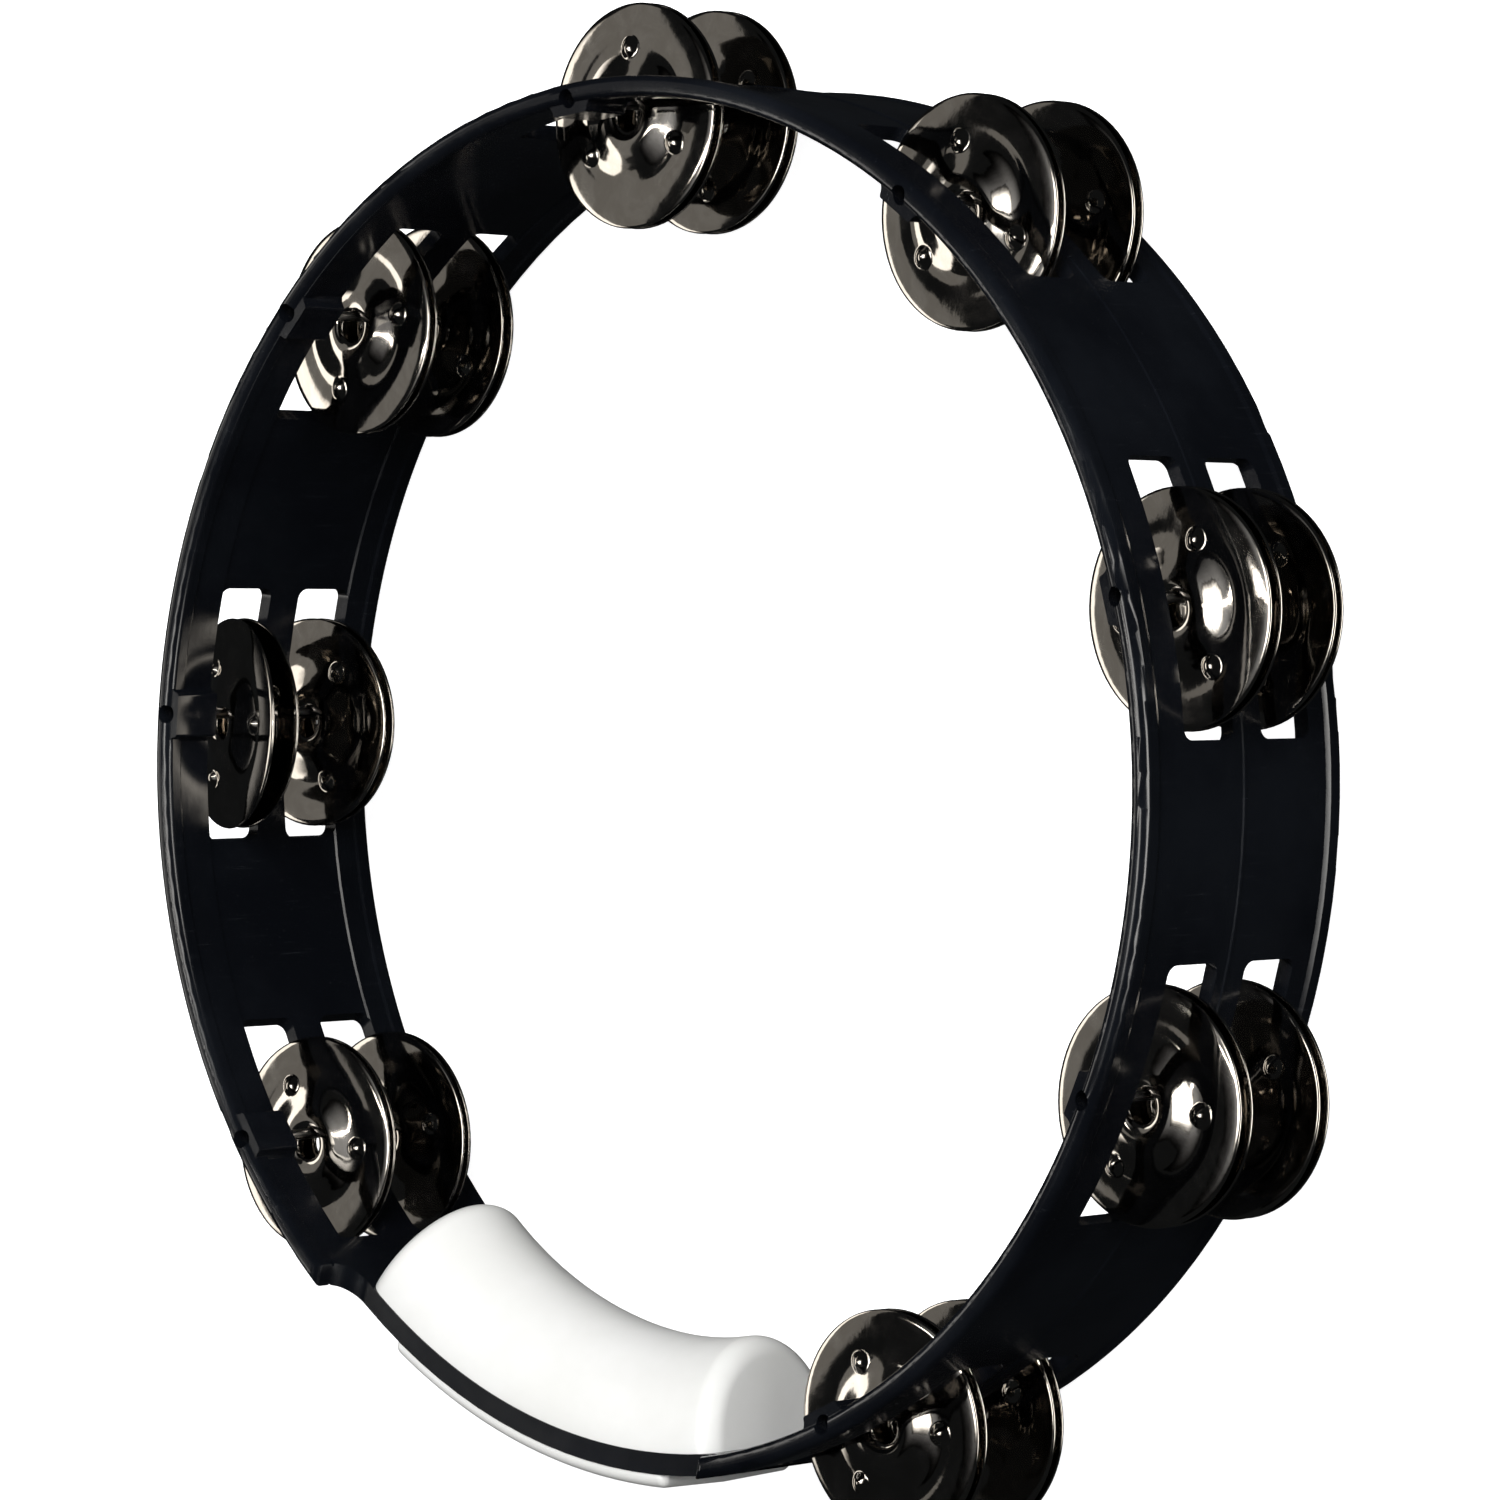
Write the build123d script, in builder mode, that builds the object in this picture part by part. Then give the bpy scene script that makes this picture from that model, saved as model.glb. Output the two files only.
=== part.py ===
from build123d import *
import math
import os

# ---------------------------------------------------------------------------
# Ten inch headless tambourine, lying flat: +Z is the ring's axis, the hand
# grip is centred on -Y, the back rim rests on Z = 0.  Lengths in millimetres.
# ---------------------------------------------------------------------------
RING_R = 127.0          # outer radius of the rim beads (ten inches across)
DEPTH = 53.0            # axial depth of the shell
RIM_T = 3.9             # radial thickness of the rim beads
BEAD_R = 1.7            # rounding on both edges of a bead
BEAD_H = 3.6            # axial height of a bead
WALL_OUT = 126.6        # outer wall radius between the beads
LIP_IN = 123.5          # inner wall radius in the bands next to the beads
WALL_IN = 123.9         # inner wall radius between the bands
UPPER_BAND = 10.9       # top rim to the upper windows
WINDOW_H = 13.0         # axial height of a window
WEB_H = 7.3             # shell left between the two rows of windows
WINDOW_L = 49.8         # length of a window along the wall
WINDOW_R = 2.0          # corner radius of a window
SEAM_W = 0.5            # moulding seam round the outside
SEAM_H = 0.2

STATIONS = [310.0, 350.0, 30.0, 70.0, 110.0, 150.0, 190.0, 230.0]
PIN_CIRCLE = 124.1      # radius the pins stand on
PIN_R = 1.0
PIN_FIT = 0.05          # radial clearance of a pin in its bore
PIN_SINK = 4.0          # depth of the open socket above each pin end
SOCKET_R = 1.75
BOSS_W = 8.4            # width of a pin boss at its inner face
BOSS_FOOT = 11.0        # width where it runs out into the wall
BOSS_IN = 121.2         # radius of the boss's inner face

NOTCH_X = 52.4          # half length of the grip's relief, measured across
NOTCH_D = 9.0           # depth of the relief in each rim
NOTCH_R = 5.5           # fillet at the foot of the relief
NOTCH_TIP = 1.6         # rounding where the relief leaves the rim
THICK_IN = 123.0        # the wall is thicker under the hand
THICK_OUT = 127.0
THICK_A = 25.9          # half angle of the thicker wall
THICK_Z = 4.4           # where it starts above and below the rims

GRIP_A = 22.6           # half angle of the inner pad
GRIP_IN = 104.2         # radius of the pad's crown at mid length
GRIP_FLARE = 1.6        # how much the crown rises towards the pad's ends
GRIP_HALF = 17.3        # half width of the pads along the axis
GRIP_SEAT = 122.98      # radius of the seat on the shell
PAD_A = 17.0            # half angle of the outer pad
PAD_OUT = 129.6         # radius of the outer pad's crown
PAD_SEAT = 127.02

JINGLE_R = 20.5
JINGLE_T = 0.6
JINGLE_HOLE = 3.3
DIMPLE_RING = 12.6
DIMPLE_R = 1.4
HANG = 2.0              # jingle centre below its pin
HANG_A = -74.85         # direction the jingles hang in, in the ring's plane

MID = DEPTH / 2
UP_HI = DEPTH - UPPER_BAND
UP_LO = UP_HI - WINDOW_H
DN_HI = UP_LO - WEB_H
DN_LO = DN_HI - WINDOW_H

# moves the ring so the assembly's bounding box is centred on the Z axis
SHIFT_X = -0.5
SHIFT_Y = -2.55

# station: for each of its four discs from top to bottom, the height of the
# hole's plane, the lean about the tangent and the turn of the dimples
ATTITUDE = {
    1: [(36.1, 2.0, 14), (31.4, 1.5, 70), (15.6, 1.5, 40), (11.0, 1.0, 100)],
    2: [(36.3, -1.5, 11), (31.0, -1.0, 55), (15.2, -1.5, 44), (10.5, -1.0, 20)],
    3: [(37.0, -2.5, 84), (31.9, -2.0, 31), (20.2, -1.0, 62), (16.0, -1.0, 5)],
    4: [(35.7, -0.5, 111), (31.4, -0.5, 52), (15.5, 0.5, 25), (10.9, 0.5, 80)],
    5: [(36.4, 1.0, 108), (31.8, 0.5, 15), (16.8, 1.0, 47), (12.0, 0.5, 90)],
    6: [(35.2, 2.0, 24), (31.0, 1.5, 65), (15.9, 1.5, 100), (11.1, 1.0, 10)],
    7: [(37.4, 17.0, 15), (31.2, 10.0, 40), (15.4, -2.5, 67), (10.7, -2.0, 25)],
    8: [(34.8, -3.0, 14), (30.8, -2.5, 95), (14.6, -1.5, 30), (10.5, -1.0, 60)],
}

os.makedirs("parts", exist_ok=True)


def plan(radius, degrees):
    a = math.radians(degrees)
    return radius * math.cos(a), radius * math.sin(a)


# --------------------------------------------------------------------- shell
with BuildPart() as frame:
    with BuildSketch(Plane.XZ) as section:
        with BuildLine():
            Polyline(
                (LIP_IN + 0.0, BEAD_H + 0.5),
                (RING_R - RIM_T, BEAD_H),
                (RING_R - RIM_T, 0),
                (RING_R, 0),
                (RING_R, BEAD_H),
                (WALL_OUT, BEAD_H + 0.9),
                (WALL_OUT, MID - SEAM_W),
                (WALL_OUT + SEAM_H, MID - SEAM_W / 2),
                (WALL_OUT + SEAM_H, MID + SEAM_W / 2),
                (WALL_OUT, MID + SEAM_W),
                (WALL_OUT, DEPTH - BEAD_H - 0.9),
                (RING_R, DEPTH - BEAD_H),
                (RING_R, DEPTH),
                (RING_R - RIM_T, DEPTH),
                (RING_R - RIM_T, DEPTH - BEAD_H),
                (LIP_IN, DEPTH - BEAD_H - 0.5),
                (LIP_IN, UP_HI),
                (WALL_IN, UP_HI - 0.25),
                (WALL_IN, DN_LO + 0.25),
                (LIP_IN, DN_LO),
                close=True,
            )
        make_face()
        tips = section.vertices().filter_by(
            lambda v: min(abs(v.Y), abs(v.Y - DEPTH)) < 0.01
        )
        fillet(tips, BEAD_R)
    revolve(axis=Axis.Z)

    # pin bosses on the inner wall: above, between and below the windows
    boss_spans = [(UP_HI, DEPTH - 0.9), (DN_HI, UP_LO), (0.9, DN_LO)]
    for low, high in boss_spans:
        for a in STATIONS:
            x, y = plan(BOSS_IN, a)
            across = (math.cos(math.radians(a)), math.sin(math.radians(a)), 0)
            with BuildSketch(Plane(origin=(x, y, low), x_dir=across, z_dir=(0, 0, 1))) as boss:
                with BuildLine() as side:
                    Line((0, 0), (0, BOSS_W / 2))
                    Line((0, BOSS_W / 2), (0.7, BOSS_W / 2 + 0.15))
                    ThreePointArc(
                        (0.7, BOSS_W / 2 + 0.15),
                        (1.6, BOSS_W / 2 + 0.55),
                        (2.3, BOSS_FOOT / 2),
                    )
                    Line((2.3, BOSS_FOOT / 2), (4.4, BOSS_FOOT / 2))
                    Line((4.4, BOSS_FOOT / 2), (4.4, 0))
                    mirror(side.line, about=Plane.XZ)
                make_face()
                fillet(
                    boss.vertices().filter_by(lambda v: abs(v.X) < 0.01 and abs(v.Y) > 1),
                    0.6,
                )
            extrude(amount=high - low)

    # thicker wall under the grip and along the edges of its relief
    a = math.radians(270 - THICK_A)
    start = Plane(origin=(0, 0, 0), x_dir=(math.cos(a), math.sin(a), 0), z_dir=(math.sin(a), -math.cos(a), 0))
    with BuildSketch(start):
        with Locations(((THICK_IN + THICK_OUT) / 2, MID)):
            Rectangle(THICK_OUT - THICK_IN, DEPTH - 2 * THICK_Z)
    revolve(axis=Axis.Z, revolution_arc=2 * THICK_A)

    # windows for the jingles, two rows
    for a in STATIONS:
        c, s = math.cos(math.radians(a)), math.sin(math.radians(a))
        for zc in ((UP_HI + UP_LO) / 2, (DN_HI + DN_LO) / 2):
            wall = Plane(origin=(116 * c, 116 * s, zc), x_dir=(-s, c, 0), z_dir=(c, s, 0))
            with BuildSketch(wall):
                RectangleRounded(WINDOW_L, WINDOW_H, WINDOW_R)
            extrude(amount=16, mode=Mode.SUBTRACT)

    # sockets and bores for the pins
    for a in STATIONS:
        x, y = plan(PIN_CIRCLE, a)
        with Locations((x, y, MID)):
            Cylinder(PIN_R + PIN_FIT, DEPTH + 2, mode=Mode.SUBTRACT)
        with Locations((x, y, DEPTH - PIN_SINK / 2), (x, y, PIN_SINK / 2)):
            Cylinder(SOCKET_R, PIN_SINK, mode=Mode.SUBTRACT)

    # relief in both rims where the hand goes
    for rim, way in ((DEPTH, 1), (0, -1)):
        out = rim + way * 5
        foot = rim - way * NOTCH_D
        tip = NOTCH_TIP * (1 - math.sqrt(0.5))
        toe = NOTCH_R * (1 - math.sqrt(0.5))
        with BuildSketch(Plane.XZ):
            with BuildLine() as half:
                Line((0, out), (NOTCH_X + NOTCH_TIP, out))
                Line((NOTCH_X + NOTCH_TIP, out), (NOTCH_X + NOTCH_TIP, rim))
                ThreePointArc(
                    (NOTCH_X + NOTCH_TIP, rim),
                    (NOTCH_X + tip, rim - way * tip),
                    (NOTCH_X, rim - way * NOTCH_TIP),
                )
                Line((NOTCH_X, rim - way * NOTCH_TIP), (NOTCH_X, foot + way * NOTCH_R))
                ThreePointArc(
                    (NOTCH_X, foot + way * NOTCH_R),
                    (NOTCH_X - toe, foot + way * toe),
                    (NOTCH_X - NOTCH_R, foot),
                )
                Line((NOTCH_X - NOTCH_R, foot), (0, foot))
                mirror(half.line, about=Plane.YZ)
            make_face()
        extrude(amount=140, mode=Mode.SUBTRACT)

with BuildPart() as shell:
    with Locations((SHIFT_X, SHIFT_Y, 0)):
        add(frame.part)
shell.part.label = "frame"
export_step(shell.part, "parts/frame.step")
boxes = [shell.part.bounding_box()]

# ---------------------------------------------------------------- hand grip
with BuildPart() as pad:
    for step in range(-3, 4):
        u = step / 3
        a = math.radians(270 + u * GRIP_A)
        c, t = math.cos(a), math.sin(a)
        crown = GRIP_IN - GRIP_FLARE * abs(u) ** 2.5
        station = Plane(origin=(GRIP_SEAT * c, GRIP_SEAT * t, MID), x_dir=(-c, -t, 0), z_dir=(-t, c, 0))
        with BuildSketch(station):
            with BuildLine():
                EllipticalCenterArc((0, 0), GRIP_SEAT - crown, GRIP_HALF, start_angle=-90, arc_size=180)
                Line((0, GRIP_HALF), (0, -GRIP_HALF))
            make_face()
    loft()
    seat_r = GRIP_SEAT
    with BuildSketch(Plane.XY):
        Circle(seat_r + 30)
        Circle(seat_r, mode=Mode.SUBTRACT)
    extrude(amount=DEPTH, mode=Mode.SUBTRACT)
    ends = pad.faces().sort_by(Axis.X)
    rims = [e for f in (ends[0], ends[-1]) for e in f.edges() if math.hypot(e.center().X, e.center().Y) < GRIP_SEAT - 3]
    fillet(rims, 4.0)
with BuildPart() as grip_inner_pad:
    with Locations((SHIFT_X, SHIFT_Y, 0)):
        add(pad.part)
grip_inner_pad.part.label = "grip_inner_pad"
export_step(grip_inner_pad.part, "parts/grip_inner_pad.step")
boxes.append(grip_inner_pad.part.bounding_box())

with BuildPart() as strip:
    with BuildSketch(Plane.XZ) as strip_section:
        with BuildLine():
            Polyline(
                (PAD_SEAT, MID - GRIP_HALF),
                (PAD_OUT, MID - GRIP_HALF),
                (PAD_OUT + 0.5, MID),
                (PAD_OUT, MID + GRIP_HALF),
                (PAD_SEAT, MID + GRIP_HALF),
                close=True,
            )
        make_face()
        fillet(strip_section.vertices().filter_by(lambda v: abs(v.X - PAD_OUT) < 0.01), 2.0)
    revolve(axis=Axis.Z, revolution_arc=2 * PAD_A)
    long_ends = [
        e
        for e in strip.edges().filter_by(Axis.Z, tolerance=5)
        if math.hypot(e.center().X, e.center().Y) > PAD_OUT - 0.3
    ]
    try:
        fillet(long_ends, 1.8)
    except Exception:
        print("outer pad ends left square", len(long_ends))
with BuildPart() as grip_outer_pad:
    with Locations(Location((SHIFT_X, SHIFT_Y, 0), (0, 0, 270 - PAD_A))):
        add(strip.part)
grip_outer_pad.part.label = "grip_outer_pad"
export_step(grip_outer_pad.part, "parts/grip_outer_pad.step")
boxes.append(grip_outer_pad.part.bounding_box())
print("pads", pad.part.volume, strip.part.volume, grip_inner_pad.part.bounding_box(), grip_outer_pad.part.bounding_box())

# -------------------------------------------------------------------- pins
for n, a in enumerate(STATIONS, 1):
    x, y = plan(PIN_CIRCLE, a)
    with BuildPart() as pin:
        with Locations((x + SHIFT_X, y + SHIFT_Y, MID)):
            Cylinder(PIN_R, DEPTH - 2 * PIN_SINK - 0.4)
        chamfer(pin.edges().filter_by(GeomType.CIRCLE), 0.25)
    pin.part.label = f"pin_{n}"
    export_step(pin.part, f"parts/pin_{n}.step")

# ------------------------------------------------------------------ jingles
profile = [
    (JINGLE_HOLE, -0.05), (3.75, 0.3), (4.6, 0.72), (5.7, 0.84), (7.0, 0.62), (9.0, 0.02),
    (11.0, -0.56), (12.6, -0.86), (14.0, -0.94), (15.6, -0.86), (17.5, -0.84),
    (19.0, -0.87), (19.9, -0.96), (20.5, -1.15),
]
with BuildPart() as disc:
    with BuildSketch(Plane.XZ):
        with BuildLine():
            Spline(*[(r, h + JINGLE_T / 2) for r, h in profile])
            Line((profile[-1][0], profile[-1][1] + JINGLE_T / 2), (profile[-1][0], profile[-1][1] - JINGLE_T / 2))
            Spline(*[(r, h - JINGLE_T / 2) for r, h in profile])
            Line((profile[0][0], profile[0][1] - JINGLE_T / 2), (profile[0][0], profile[0][1] + JINGLE_T / 2))
        make_face()
    revolve(axis=Axis.Z)
    for k in range(3):
        x, y = plan(DIMPLE_RING, 120 * k)
        with Locations((x, y, -0.85)):
            Sphere(DIMPLE_R, arc_size1=0, arc_size2=90)
        with Locations((x, y, -0.95)):
            Sphere(DIMPLE_R - 0.55, mode=Mode.SUBTRACT)
print("disc", disc.part.volume, len(disc.part.solids()), len(disc.part.faces()), disc.part.bounding_box())

hx, hy = plan(HANG, HANG_A)
for n, a in enumerate(STATIONS, 1):
    x, y = plan(PIN_CIRCLE, a)
    c, s = math.cos(math.radians(a)), math.sin(math.radians(a))
    for k, place in enumerate(("upper_top", "upper_bottom", "lower_top", "lower_bottom")):
        height, lean, turn = ATTITUDE[n][k]
        up = 1 if k % 2 == 0 else -1
        q = math.radians(lean)
        nz = Vector(c * math.sin(q), s * math.sin(q), math.cos(q)) * up
        ref = Vector(math.cos(math.radians(turn)), math.sin(math.radians(turn)), 0)
        ref = (ref - nz * ref.dot(nz)).normalized()
        with BuildPart() as jingle:
            with Locations(Location(Plane(origin=(x + hx + SHIFT_X, y + hy + SHIFT_Y, height), x_dir=ref, z_dir=nz))):
                add(disc.part)
        jingle.part.label = f"jingle_{n}_{place}"
        export_step(jingle.part, f"parts/jingle_{n}_{place}.step")
        boxes.append(jingle.part.bounding_box())

low = [min(b.min.X for b in boxes), min(b.min.Y for b in boxes), min(b.min.Z for b in boxes)]
high = [max(b.max.X for b in boxes), max(b.max.Y for b in boxes), max(b.max.Z for b in boxes)]
print("box", [round(v, 2) for v in low], [round(v, 2) for v in high], "centre", [round((p + q) / 2, 2) for p, q in zip(low, high)])
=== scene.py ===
import math

import bpy
import numpy as np
from mathutils import Matrix, Vector


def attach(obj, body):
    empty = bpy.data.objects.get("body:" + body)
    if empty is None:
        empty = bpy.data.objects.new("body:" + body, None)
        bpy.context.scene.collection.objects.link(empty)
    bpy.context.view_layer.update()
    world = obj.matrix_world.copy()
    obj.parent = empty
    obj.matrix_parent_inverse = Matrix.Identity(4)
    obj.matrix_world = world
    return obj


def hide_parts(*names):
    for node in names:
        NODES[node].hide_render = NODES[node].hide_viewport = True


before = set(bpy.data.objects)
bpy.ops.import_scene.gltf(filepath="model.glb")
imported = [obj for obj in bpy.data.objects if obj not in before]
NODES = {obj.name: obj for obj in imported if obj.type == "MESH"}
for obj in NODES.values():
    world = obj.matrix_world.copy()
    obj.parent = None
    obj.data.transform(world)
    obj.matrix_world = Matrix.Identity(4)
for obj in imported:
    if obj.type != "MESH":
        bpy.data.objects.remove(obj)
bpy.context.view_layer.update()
MM = 0.001

# ---------------------------------------------------------------- dimensions
SHIFT = (-0.5, -2.55)
DEPTH = 53.0
STATIONS = [310.0, 350.0, 30.0, 70.0, 110.0, 150.0, 190.0, 230.0]
PIN_CIRCLE = 124.1
HANG, HANG_A = 2.0, -74.85
JINGLE_T = 0.6
JINGLE_HOLE = 3.3
DIMPLE_RING = 12.6
ATTITUDE = {
    1: [(36.1, 2.0, 14), (31.4, 1.5, 70), (15.6, 1.5, 40), (11.0, 1.0, 100)],
    2: [(36.3, -1.5, 11), (31.0, -1.0, 55), (15.2, -1.5, 44), (10.5, -1.0, 20)],
    3: [(37.0, -2.5, 84), (31.9, -2.0, 31), (20.2, -1.0, 62), (16.0, -1.0, 5)],
    4: [(35.7, -0.5, 111), (31.4, -0.5, 52), (15.5, 0.5, 25), (10.9, 0.5, 80)],
    5: [(36.4, 1.0, 108), (31.8, 0.5, 15), (16.8, 1.0, 47), (12.0, 0.5, 90)],
    6: [(35.2, 2.0, 24), (31.0, 1.5, 65), (15.9, 1.5, 100), (11.1, 1.0, 10)],
    7: [(37.4, 17.0, 15), (31.2, 10.0, 40), (15.4, -2.5, 67), (10.7, -2.0, 25)],
    8: [(34.8, -3.0, 14), (30.8, -2.5, 95), (14.6, -1.5, 30), (10.5, -1.0, 60)],
}
PROFILE = [
    (JINGLE_HOLE, 0.30), (3.75, 0.66), (4.6, 0.85), (5.7, 0.84), (7.0, 0.62),
    (9.0, 0.02), (11.0, -0.56), (12.6, -0.84), (14.0, -0.88), (15.6, -0.80),
    (17.5, -0.84), (19.0, -0.95), (19.9, -1.06), (20.5, -1.22),
]


# ------------------------------------------------------------------ materials
class Shader:
    """One procedural material: a node tree built from the top down."""

    def __init__(self, name):
        self.m = bpy.data.materials.new(name)
        self.m.use_nodes = True
        self.t = self.m.node_tree
        self.t.nodes.clear()
        self.out = self.t.nodes.new("ShaderNodeOutputMaterial")
        self.p = self.t.nodes.new("ShaderNodeBsdfPrincipled")
        self.t.links.new(self.p.outputs[0], self.out.inputs["Surface"])
        self.coord = self.t.nodes.new("ShaderNodeTexCoord")

    def node(self, kind, **settings):
        n = self.t.nodes.new(kind)
        for key, value in settings.items():
            if key in n.inputs.keys():
                n.inputs[key].default_value = value
            else:
                setattr(n, key, value)
        return n

    def link(self, a, b):
        self.t.links.new(a, b)

    def noise(self, scale, detail=3.0, rough=0.55, stretch=None, distortion=0.0, vector=None):
        n = self.node("ShaderNodeTexNoise")
        n.inputs["Scale"].default_value = scale
        n.inputs["Detail"].default_value = detail
        n.inputs["Roughness"].default_value = rough
        n.inputs["Distortion"].default_value = distortion
        source = vector or self.coord.outputs["Object"]
        if stretch is not None:
            mapping = self.node("ShaderNodeMapping")
            mapping.inputs["Scale"].default_value = stretch
            self.link(source, mapping.inputs["Vector"])
            source = mapping.outputs[0]
        self.link(source, n.inputs["Vector"])
        return n.outputs["Fac"]

    def span(self, value, lo, hi, to_lo, to_hi, smooth=True):
        n = self.node("ShaderNodeMapRange")
        n.interpolation_type = "SMOOTHSTEP" if smooth else "LINEAR"
        n.inputs["From Min"].default_value = lo
        n.inputs["From Max"].default_value = hi
        n.inputs["To Min"].default_value = to_lo
        n.inputs["To Max"].default_value = to_hi
        self.link(value, n.inputs["Value"])
        return n.outputs["Result"]

    def math(self, kind, a, b=None, clamp=False):
        n = self.node("ShaderNodeMath")
        n.operation = kind
        n.use_clamp = clamp
        for k, v in enumerate((a, b)):
            if v is None:
                continue
            if isinstance(v, (int, float)):
                n.inputs[k].default_value = v
            else:
                self.link(v, n.inputs[k])
        return n.outputs[0]

    def mix(self, factor, a, b):
        n = self.node("ShaderNodeMix")
        n.data_type = "RGBA"
        if isinstance(factor, (int, float)):
            n.inputs[0].default_value = factor
        else:
            self.link(factor, n.inputs[0])
        for k, v in ((6, a), (7, b)):
            if isinstance(v, tuple):
                n.inputs[k].default_value = (*v, 1)
            else:
                self.link(v, n.inputs[k])
        return n.outputs[2]

    def bump(self, height, strength, distance, normal=None):
        n = self.node("ShaderNodeBump")
        n.inputs["Strength"].default_value = strength
        n.inputs["Distance"].default_value = distance
        self.link(height, n.inputs["Height"])
        if normal is not None:
            self.link(normal, n.inputs["Normal"])
        return n.outputs[0]

    def polar(self):
        """Distance from the ring's axis, angle round it and height, from the Object coordinates."""
        split = self.node("ShaderNodeSeparateXYZ")
        self.link(self.coord.outputs["Object"], split.inputs[0])
        x = self.math("SUBTRACT", split.outputs[0], self.ox * MM)
        y = self.math("SUBTRACT", split.outputs[1], self.oy * MM)
        r = self.math("SQRT", self.math("ADD", self.math("MULTIPLY", x, x), self.math("MULTIPLY", y, y)))
        a = self.math("ARCTAN2", y, x)
        return r, a, split.outputs[2]


def shell_material():
    """Injection moulded gloss black with a blue cast: flow marks, fine scuffs along the axis and round the ring."""
    s = Shader("shell_plastic")
    s.ox, s.oy = SHIFT
    r, a, z = s.polar()
    wrap = s.node("ShaderNodeCombineXYZ")
    s.link(s.math("MULTIPLY", a, 0.125), wrap.inputs[0])
    s.link(z, wrap.inputs[1])
    s.link(r, wrap.inputs[2])
    ring = wrap.outputs[0]
    cloud = s.noise(26, 4, 0.6)
    tone = s.mix(s.span(cloud, 0.35, 0.7, 0, 1), (0.0028, 0.0034, 0.0050), (0.0062, 0.0074, 0.0100))
    # scuffs: thin streaks along the axis on the walls, and round the ring on the rims
    along = s.noise(60, 5, 0.65, stretch=(22.0, 1.1, 10.0), vector=ring)
    around = s.noise(60, 5, 0.65, stretch=(1.2, 26.0, 26.0), vector=ring)
    streak = s.span(along, 0.60, 0.78, 0, 1)
    streak2 = s.span(around, 0.62, 0.80, 0, 1)
    dust = s.span(s.noise(1500, 2, 0.5), 0.70, 0.80, 0, 1)
    tone = s.mix(s.math("MULTIPLY", streak, 0.30), tone, (0.030, 0.034, 0.040))
    tone = s.mix(s.math("MULTIPLY", dust, 0.22), tone, (0.055, 0.060, 0.066))
    s.link(tone, s.p.inputs["Base Color"])
    rough = s.span(s.noise(90, 4, 0.6), 0.3, 0.75, 0.13, 0.24)
    rough = s.math("ADD", rough, s.math("MULTIPLY", streak, 0.10))
    rough = s.math("ADD", rough, s.math("MULTIPLY", streak2, 0.07), clamp=True)
    s.link(rough, s.p.inputs["Roughness"])
    s.p.inputs["IOR"].default_value = 1.50
    peel = s.noise(620, 3, 0.5)
    flow = s.noise(30, 3, 0.5, stretch=(1.0, 5.0, 1.0), vector=ring)
    n = s.bump(peel, 0.06, 0.00008)
    n = s.bump(flow, 0.08, 0.0003, n)
    n = s.bump(along, 0.06, 0.00006, n)
    n = s.bump(around, 0.05, 0.00005, n)
    s.link(n, s.p.inputs["Normal"])
    return s.m


def grip_material():
    """Satin white moulding: faint handling marks, and a slightly warm tone that varies in soft random patches."""
    s = Shader("grip_plastic")
    cloud = s.noise(34, 4, 0.6)
    tone = s.mix(s.span(cloud, 0.3, 0.75, 0, 1), (0.80, 0.80, 0.775), (0.865, 0.865, 0.85))
    mark = s.span(s.noise(160, 5, 0.7, stretch=(1, 3, 1)), 0.62, 0.85, 0, 1)
    tone = s.mix(s.math("MULTIPLY", mark, 0.35), tone, (0.70, 0.69, 0.655))
    s.link(tone, s.p.inputs["Base Color"])
    s.link(s.span(s.noise(120, 4, 0.6), 0.3, 0.75, 0.34, 0.48), s.p.inputs["Roughness"])
    s.p.inputs["IOR"].default_value = 1.47
    grain = s.noise(1500, 3, 0.55)
    soft = s.noise(60, 3, 0.5)
    n = s.bump(grain, 0.10, 0.0001)
    n = s.bump(soft, 0.16, 0.0008, n)
    s.link(n, s.p.inputs["Normal"])
    return s.m


def jingle_material():
    """Dark nickel plate: faint spinning lines round the disc, smears and a few worn spots."""
    s = Shader("jingle_metal")
    s.ox, s.oy = 0.0, 0.0
    r, a, z = s.polar()
    wrap = s.node("ShaderNodeCombineXYZ")
    s.link(s.math("MULTIPLY", r, 1.0), wrap.inputs[0])
    s.link(s.math("MULTIPLY", a, 0.0015), wrap.inputs[1])
    lines = s.noise(2600, 4, 0.6, vector=wrap.outputs[0])
    smear = s.noise(150, 4, 0.62, distortion=0.6)
    tone = s.mix(s.span(smear, 0.35, 0.72, 0, 1), (0.45, 0.415, 0.37), (0.54, 0.505, 0.46))
    tone = s.mix(s.span(s.noise(900, 3, 0.6), 0.66, 0.80, 0, 0.45), tone, (0.27, 0.25, 0.23))
    s.link(tone, s.p.inputs["Base Color"])
    s.p.inputs["Metallic"].default_value = 1.0
    rough = s.span(smear, 0.35, 0.75, 0.050, 0.105)
    rough = s.math("ADD", rough, s.span(lines, 0.55, 0.85, 0.0, 0.04))
    s.link(rough, s.p.inputs["Roughness"])
    n = s.bump(lines, 0.05, 0.00004)
    n = s.bump(s.noise(260, 3, 0.5), 0.10, 0.00022, n)
    s.link(n, s.p.inputs["Normal"])
    return s.m


def pin_material():
    """Drawn steel wire: lines along the pin, and a tone that varies in spots."""
    s = Shader("pin_steel")
    lines = s.noise(1800, 4, 0.6, stretch=(1, 1, 0.04))
    spots = s.noise(420, 4, 0.6)
    tone = s.mix(s.span(spots, 0.4, 0.75, 0, 1), (0.36, 0.355, 0.35), (0.50, 0.49, 0.475))
    s.link(tone, s.p.inputs["Base Color"])
    s.p.inputs["Metallic"].default_value = 1.0
    s.link(s.span(lines, 0.3, 0.7, 0.20, 0.36), s.p.inputs["Roughness"])
    s.link(s.bump(lines, 0.25, 0.00006), s.p.inputs["Normal"])
    return s.m


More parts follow.
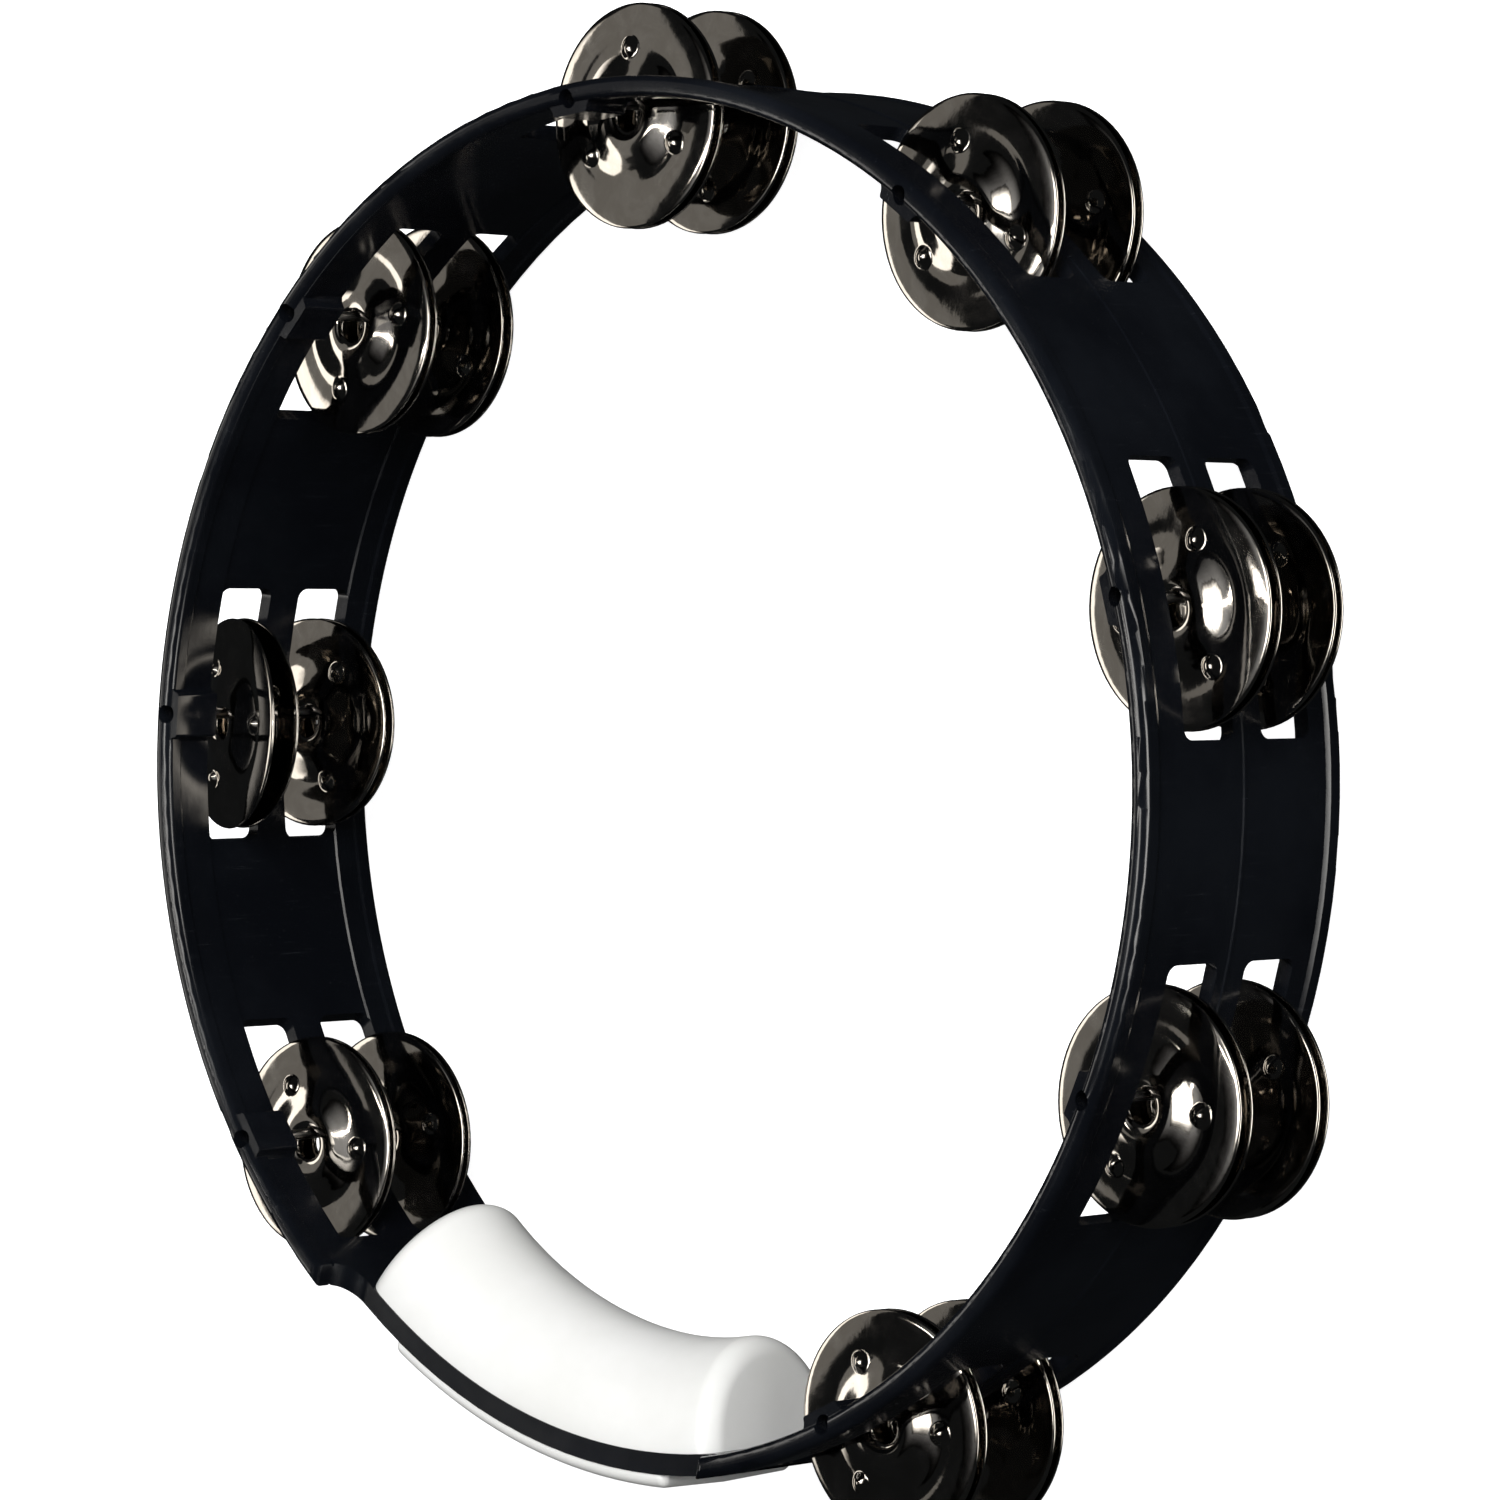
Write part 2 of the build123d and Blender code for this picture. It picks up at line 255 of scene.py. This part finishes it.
SHELL, GRIP, JINGLE, PIN = shell_material(), grip_material(), jingle_material(), pin_material()


def paint(obj, material):
    obj.data.materials.clear()
    obj.data.materials.append(material)


# ------------------------------------------------------------- jingle discs
def spline(points, samples_per):
    """Catmull-Rom through the points, samples_per steps in each stretch."""
    p = [np.array(q, float) for q in points]
    p = [2 * p[0] - p[1]] + p + [2 * p[-1] - p[-2]]
    out = []
    for i in range(1, len(p) - 2):
        steps = samples_per[i - 1]
        for k in range(steps):
            t = k / steps
            a, b, c, d = p[i - 1], p[i], p[i + 1], p[i + 2]
            out.append(
                0.5 * ((2 * b) + (c - a) * t + (2 * a - 5 * b + 4 * c - d) * t**2 + (3 * b - a - 3 * c + d) * t**3)
            )
    out.append(p[-2])
    return out


def disc_shape():
    """A stamped disc 0.6 mm thick: crater round the hole, dome, valley, flange, rolled lip, three punched bumps."""
    mid = spline(PROFILE, [3, 3, 3, 3, 4, 7, 8, 7, 6, 3, 3, 2, 2])
    mid = np.array(mid)
    tangent = np.gradient(mid, axis=0)
    tangent /= np.linalg.norm(tangent, axis=1)[:, None]
    normal = np.stack([-tangent[:, 1], tangent[:, 0]], 1)
    half = JINGLE_T / 2
    top = mid + normal * half
    under = mid - normal * half

    def cap(centre, out, steps=5):
        """Half circle round the sheet's edge, from the top face to the underside."""
        n = np.array([-out[1], out[0]])
        ring = []
        for k in range(1, steps):
            t = math.pi * k / steps
            ring.append(centre + half * (math.cos(t) * n + math.sin(t) * out))
        return ring

    outer = cap(mid[-1], tangent[-1])
    inner = cap(mid[0], -tangent[0])
    loop = list(top) + outer + list(under[::-1]) + [q for q in inner]
    side = [1] * len(top) + [0] * len(outer) + [-1] * len(under) + [0] * len(inner)
    angles = []
    for k in range(3):
        base = 120.0 * k
        angles += [base + v for v in np.arange(-10.8, 10.81, 1.2)]
        angles += [base + 10.8 + (120 - 21.6) * (j + 1) / 20 for j in range(19)]
    angles = sorted(angles)
    verts, faces = [], []
    for a in angles:
        c, s = math.cos(math.radians(a)), math.sin(math.radians(a))
        for (r, h), kind in zip(loop, side):
            x, y = r * c, r * s
            for k in range(3):
                bx, by = DIMPLE_RING * math.cos(2 * math.pi * k / 3), DIMPLE_RING * math.sin(2 * math.pi * k / 3)
                d = math.hypot(x - bx, y - by)
                if d < 2.15 and kind:
                    u = d / 2.15
                    h = h + 1.23 * (1 - u * u) ** 1.25
            verts.append((x * MM, y * MM, h * MM))
    m, n = len(angles), len(loop)
    for i in range(m):
        j = (i + 1) % m
        for k in range(n):
            q = (k + 1) % n
            faces.append((i * n + k, i * n + q, j * n + q, j * n + k))
    return np.array(verts), faces


DISC_VERTS, DISC_FACES = disc_shape()


def disc_mesh(name, turn):
    """The disc with its bumps turned round its axis, so that the object's own axes can stay with the row's."""
    c, s = math.cos(turn), math.sin(turn)
    v = DISC_VERTS @ np.array([[c, s, 0], [-s, c, 0], [0, 0, 1]])
    mesh = bpy.data.meshes.new(name)
    mesh.from_pydata(v.tolist(), [], DISC_FACES)
    mesh.update()
    if sum(p.normal.z for p in mesh.polygons if p.center.z > 0.0006) < 0:
        mesh.flip_normals()
    mesh.polygons.foreach_set("use_smooth", [True] * len(mesh.polygons))
    mesh.materials.append(JINGLE)
    return mesh


hang = Vector((HANG * math.cos(math.radians(HANG_A)), HANG * math.sin(math.radians(HANG_A)), 0))
for n, a in enumerate(STATIONS, 1):
    c, s = math.cos(math.radians(a)), math.sin(math.radians(a))
    for k, place in enumerate(("upper_top", "upper_bottom", "lower_top", "lower_bottom")):
        height, lean, turn = ATTITUDE[n][k]
        up = 1 if k % 2 == 0 else -1
        q = math.radians(lean)
        nz = Vector((c * math.sin(q), s * math.sin(q), math.cos(q))) * up
        ref = Vector((1, 0, 0))
        ref = (ref - nz * ref.dot(nz)).normalized()
        side = nz.cross(ref)
        bump = Vector((math.cos(math.radians(turn)), math.sin(math.radians(turn)), 0))
        spin = math.atan2(bump.dot(side), bump.dot(ref))
        centre = Vector((PIN_CIRCLE * c + SHIFT[0], PIN_CIRCLE * s + SHIFT[1], height)) + hang
        name = f"jingle_{n}_{place}"
        obj = bpy.data.objects.new(name + "_disc", disc_mesh(name + "_disc", spin))
        bpy.context.scene.collection.objects.link(obj)
        place_at = Matrix((
            (ref.x, side.x, nz.x, centre.x * MM),
            (ref.y, side.y, nz.y, centre.y * MM),
            (ref.z, side.z, nz.z, centre.z * MM),
            (0, 0, 0, 1),
        ))
        obj.matrix_world = place_at
        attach(obj, name)
        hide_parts(name)

# -------------------------------------------------------- carried-over CAD
paint(NODES["frame"], SHELL)
paint(NODES["grip_inner_pad"], GRIP)
paint(NODES["grip_outer_pad"], GRIP)
for n in range(1, 9):
    paint(NODES[f"pin_{n}"], PIN)

# --------------------------------------------------------------------- stage
TOWARDS = Vector((math.cos(math.radians(14.85)), math.sin(math.radians(14.85)), 0))
ABOVE = Vector((-math.sin(math.radians(14.85)), math.cos(math.radians(14.85)), 0))


def direction(azimuth, rise=0.0):
    """Unit vector: azimuth 0 is along the ring's axis, 45 the camera's side, rise is towards the picture's top."""
    a, e = math.radians(azimuth), math.radians(rise)
    return (Vector((0, 0, 1)) * math.cos(a) + TOWARDS * math.sin(a)) * math.cos(e) + ABOVE * math.sin(e)


def emission(name, colour, strength):
    m = bpy.data.materials.new(name)
    m.use_nodes = True
    t = m.node_tree
    t.nodes.clear()
    out = t.nodes.new("ShaderNodeOutputMaterial")
    e = t.nodes.new("ShaderNodeEmission")
    glow = t.nodes.new("ShaderNodeAttribute")
    glow.attribute_name = "glow"
    gain = t.nodes.new("ShaderNodeMath")
    gain.operation = "MULTIPLY"
    gain.inputs[1].default_value = strength
    e.inputs["Color"].default_value = (*colour, 1)
    t.links.new(glow.outputs["Fac"], gain.inputs[0])
    t.links.new(gain.outputs[0], e.inputs["Strength"])
    t.links.new(e.outputs[0], out.inputs["Surface"])
    return m


def card(name, azimuths, rises, strength, colour=(1, 1, 1), distance=1.4, soft=(0.0, 0.0)):
    """A studio softbox or card, seen only in reflections: a curved sheet between two azimuths and two rises.
    soft is how much of each half fades out towards the edge."""
    verts, faces, glow = [], [], []
    na, nr = 24, 24
    for i in range(na + 1):
        for j in range(nr + 1):
            a = azimuths[0] + (azimuths[1] - azimuths[0]) * i / na
            e = rises[0] + (rises[1] - rises[0]) * j / nr
            verts.append(direction(a, e) * distance + Vector((0, 0, 0.026)))
            g = 1.0
            for u, k in ((i / na, soft[0]), (j / nr, soft[1])):
                d = 1 - abs(2 * u - 1)
                if k > 0:
                    w = min(1.0, d / k)
                    g *= w * w * (3 - 2 * w)
            glow.append(g)
    for i in range(na):
        for j in range(nr):
            k = i * (nr + 1) + j
            faces.append((k, k + 1, k + nr + 2, k + nr + 1))
    mesh = bpy.data.meshes.new(name)
    mesh.from_pydata(verts, [], faces)
    mesh.attributes.new("glow", "FLOAT", "POINT").data.foreach_set("value", glow)
    mesh.materials.append(emission(name, colour, strength))
    obj = bpy.data.objects.new(name, mesh)
    bpy.context.scene.collection.objects.link(obj)
    obj.visible_camera = False
    obj.visible_diffuse = False
    obj.visible_shadow = False
    return obj


card("softbox_front", (-11, 14.5), (-17, 20), 7.0, (1.0, 0.985, 0.95), soft=(0.5, 0.5))
card("softbox_front_spill", (-32, 26), (-26, 30), 0.55, (0.95, 0.97, 1.0), distance=1.45, soft=(0.8, 0.8))
card("softbox_right", (74, 96), (-34, 34), 8.0, (1.0, 0.985, 0.95), soft=(0.3, 0.5))
card("lamp_bar", (-33, -3), (1.8, 3.4), 14.0, (1.0, 0.97, 0.92), distance=1.35, soft=(0.3, 0.0))
card("grey_card", (-54, -41.5), (-13, 36), 0.24, (1.0, 0.98, 0.94))
card("white_panel", (-67, -54), (-24, 24), 2.4, (1.0, 0.97, 0.92), soft=(0.15, 0.3))


def area(name, at, size, power, colour=(1, 1, 1)):
    light = bpy.data.lights.new(name, "AREA")
    light.shape = "DISK"
    light.size = size
    light.energy = power
    light.color = colour
    obj = bpy.data.objects.new(name, light)
    bpy.context.scene.collection.objects.link(obj)
    obj.location = at
    obj.rotation_mode = "QUATERNION"
    obj.rotation_quaternion = Vector(at).to_track_quat("Z", "Y")
    obj.visible_glossy = False
    return obj


area("soft_key", direction(25, 25) * 1.5, 1.0, 26)
area("soft_side", direction(75, 10) * 1.5, 1.0, 9)
area("soft_fill", direction(-55, 20) * 1.6, 1.4, 5)
area("soft_under", direction(0, -50) * 1.6, 1.2, 5)

floor_mesh = bpy.data.meshes.new("floor")
verts, faces = [(0, 0, 0)], []
rings = [0.4, 1.2, 3.0, 5.0, 5.8, 6.0]
rises = [0, 0, 0, 0.25, 1.2, 5.0]
m = 48
for r, h in zip(rings, rises):
    for k in range(m):
        verts.append((r * math.cos(2 * math.pi * k / m), r * math.sin(2 * math.pi * k / m), h))
for k in range(m):
    faces.append((0, 1 + k, 1 + (k + 1) % m))
for i in range(len(rings) - 1):
    for k in range(m):
        a, b = 1 + i * m + k, 1 + i * m + (k + 1) % m
        faces.append((a, a + m, b + m, b))
floor_mesh.from_pydata([(x, y, z - 0.0003) for x, y, z in verts], [], faces)
for p in floor_mesh.polygons:
    p.use_smooth = True
floor = bpy.data.objects.new("floor", floor_mesh)
bpy.context.scene.collection.objects.link(floor)
paper = bpy.data.materials.new("paper")
paper.use_nodes = True
b = paper.node_tree.nodes["Principled BSDF"]
b.inputs["Base Color"].default_value = (0.82, 0.82, 0.82, 1)
b.inputs["Roughness"].default_value = 0.9
b.inputs["Specular IOR Level"].default_value = 0.1
b.inputs["Emission Color"].default_value = (1, 1, 1, 1)
b.inputs["Emission Strength"].default_value = 0.92
floor_mesh.materials.append(paper)
floor.visible_glossy = False
floor.visible_diffuse = False

world = bpy.data.worlds.new("studio")
bpy.context.scene.world = world
world.use_nodes = True
world.node_tree.nodes["Background"].inputs[0].default_value = (0.85, 0.93, 1.0, 1)
world.node_tree.nodes["Background"].inputs[1].default_value = 0.012

scene = bpy.context.scene
scene.view_settings.view_transform = "Standard"
scene.view_settings.look = "None"

# -------------------------------------------------------------------- camera
lens = bpy.data.cameras.new("camera")
lens.sensor_width = 36
lens.lens = 36 * 5906.1 / 1500
lens.clip_start, lens.clip_end = 0.05, 50
camera = bpy.data.objects.new("camera", lens)
scene.collection.objects.link(camera)
camera.matrix_world = Matrix((
    (0.695191, -0.269772, 0.666283, 0.728376),
    (0.184327, 0.962815, 0.197511, 0.218371),
    (-0.694790, -0.014494, 0.719067, 0.804031),
    (0, 0, 0, 1),
))
scene.camera = camera
